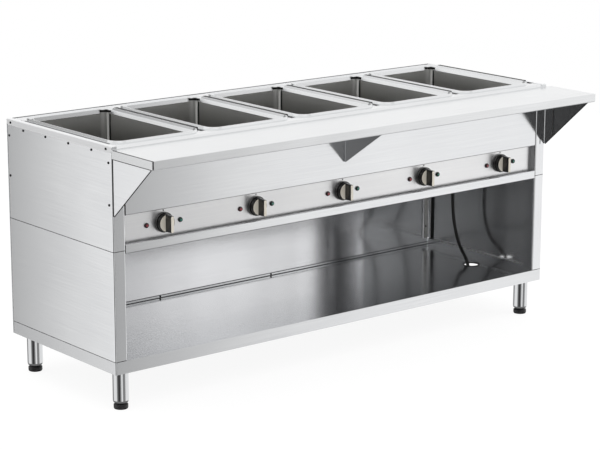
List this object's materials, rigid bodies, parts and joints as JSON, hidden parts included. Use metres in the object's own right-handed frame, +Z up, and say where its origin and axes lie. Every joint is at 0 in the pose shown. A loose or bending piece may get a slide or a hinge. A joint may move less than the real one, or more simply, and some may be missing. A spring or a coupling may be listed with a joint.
{
  "type": "steam table",
  "caption": "Stainless electric steam table: open rectangular wells in a row, knob controls, a bracketed work shelf, an open undershelf cabinet and round legs on adjustable feet.",
  "frame": {"origin": "on the floor, under the middle of the table's box without its cord", "axes": "+X along the length from the plain left end to the end with the cord, +Y from the work shelf to the back, +Z up"},
  "size_m": [1.862, 0.909, 0.8443],
  "materials": {
    "stainless": "brushed, fairly glossy",
    "well_steel": "drawn stainless",
    "leg_steel": "polished tube",
    "foot_black": "moulded",
    "knob_black": "moulded phenolic",
    "knob_trim": "champagne anodised",
    "spindle_brass": "turned",
    "lamp_red": "translucent lens",
    "lamp_green": "translucent lens",
    "element_sheath": "heat-darkened",
    "insulation": "mineral fibre board",
    "control_plastic": "moulded",
    "cord_rubber": "matt jacket",
    "black_plastic": "moulded",
    "grommet_rubber": "moulded"
  },
  "bodies": {
    "table": {"back_lower_access": "stainless", "back_lower_main": "stainless", "back_upper": "stainless", "base_tray": "stainless", "bracket_left": "stainless", "bracket_middle": "stainless", "bracket_right": "stainless", "control_panel": "stainless", "cord": "cord_rubber", "cord_coil": "cord_rubber", "cord_gland": "black_plastic", "cord_grommet": "grommet_rubber", "cord_tie": "black_plastic", "deck": "stainless", "end_cap_left": "stainless", "end_cap_right": "stainless", "front_fascia": "stainless", "front_rail": "stainless", "green_lamps": "lamp_green", "heating_elements": "element_sheath", "housing_floor": "stainless", "insulation": "insulation", "leg_front_left": "leg_steel", "leg_front_right": "leg_steel", "leg_rear_left": "leg_steel", "leg_rear_right": "leg_steel", "lower_end_left": "stainless", "lower_end_right": "stainless", "plug": "black_plastic", "red_lamps": "lamp_red", "terminal_block": "control_plastic", "thermostats": "control_plastic", "upper_end_left": "stainless", "upper_end_right": "stainless", "well_1": "well_steel", "well_2": "well_steel", "well_3": "well_steel", "well_4": "well_steel", "well_5": "well_steel", "work_shelf": "stainless"},
    "knob_1": {"knob_1": "knob_black", "knob_face_1": "knob_trim", "spindle_1": "spindle_brass"},
    "knob_2": {"knob_2": "knob_black", "knob_face_2": "knob_trim", "spindle_2": "spindle_brass"},
    "knob_3": {"knob_3": "knob_black", "knob_face_3": "knob_trim", "spindle_3": "spindle_brass"},
    "knob_4": {"knob_4": "knob_black", "knob_face_4": "knob_trim", "spindle_4": "spindle_brass"},
    "knob_5": {"knob_5": "knob_black", "knob_face_5": "knob_trim", "spindle_5": "spindle_brass"},
    "foot_front_left": {"foot_front_left": "foot_black"},
    "foot_front_right": {"foot_front_right": "foot_black"},
    "foot_rear_left": {"foot_rear_left": "foot_black"},
    "foot_rear_right": {"foot_rear_right": "foot_black"}
  },
  "joints": [
    {"name": "knob_1_turn", "type": "hinge", "parent": "table", "child": "knob_1", "pos_m": [-0.732, -0.173, 0.577], "axis": [0, 1, 0], "range_deg": [0, 300]},
    {"name": "knob_2_turn", "type": "hinge", "parent": "table", "child": "knob_2", "pos_m": [-0.372, -0.173, 0.577], "axis": [0, 1, 0], "range_deg": [0, 300]},
    {"name": "knob_3_turn", "type": "hinge", "parent": "table", "child": "knob_3", "pos_m": [-0.012, -0.173, 0.577], "axis": [0, 1, 0], "range_deg": [0, 300]},
    {"name": "knob_4_turn", "type": "hinge", "parent": "table", "child": "knob_4", "pos_m": [0.348, -0.173, 0.577], "axis": [0, 1, 0], "range_deg": [0, 300]},
    {"name": "knob_5_turn", "type": "hinge", "parent": "table", "child": "knob_5", "pos_m": [0.708, -0.173, 0.577], "axis": [0, 1, 0], "range_deg": [0, 300]},
    {"name": "foot_front_left_height", "type": "slide", "parent": "table", "child": "foot_front_left", "axis": [0, 0, -1], "range_m": [0, 0.025]},
    {"name": "foot_front_right_height", "type": "slide", "parent": "table", "child": "foot_front_right", "axis": [0, 0, -1], "range_m": [0, 0.025]},
    {"name": "foot_rear_left_height", "type": "slide", "parent": "table", "child": "foot_rear_left", "axis": [0, 0, -1], "range_m": [0, 0.025]},
    {"name": "foot_rear_right_height", "type": "slide", "parent": "table", "child": "foot_rear_right", "axis": [0, 0, -1], "range_m": [0, 0.025]}
  ]
}
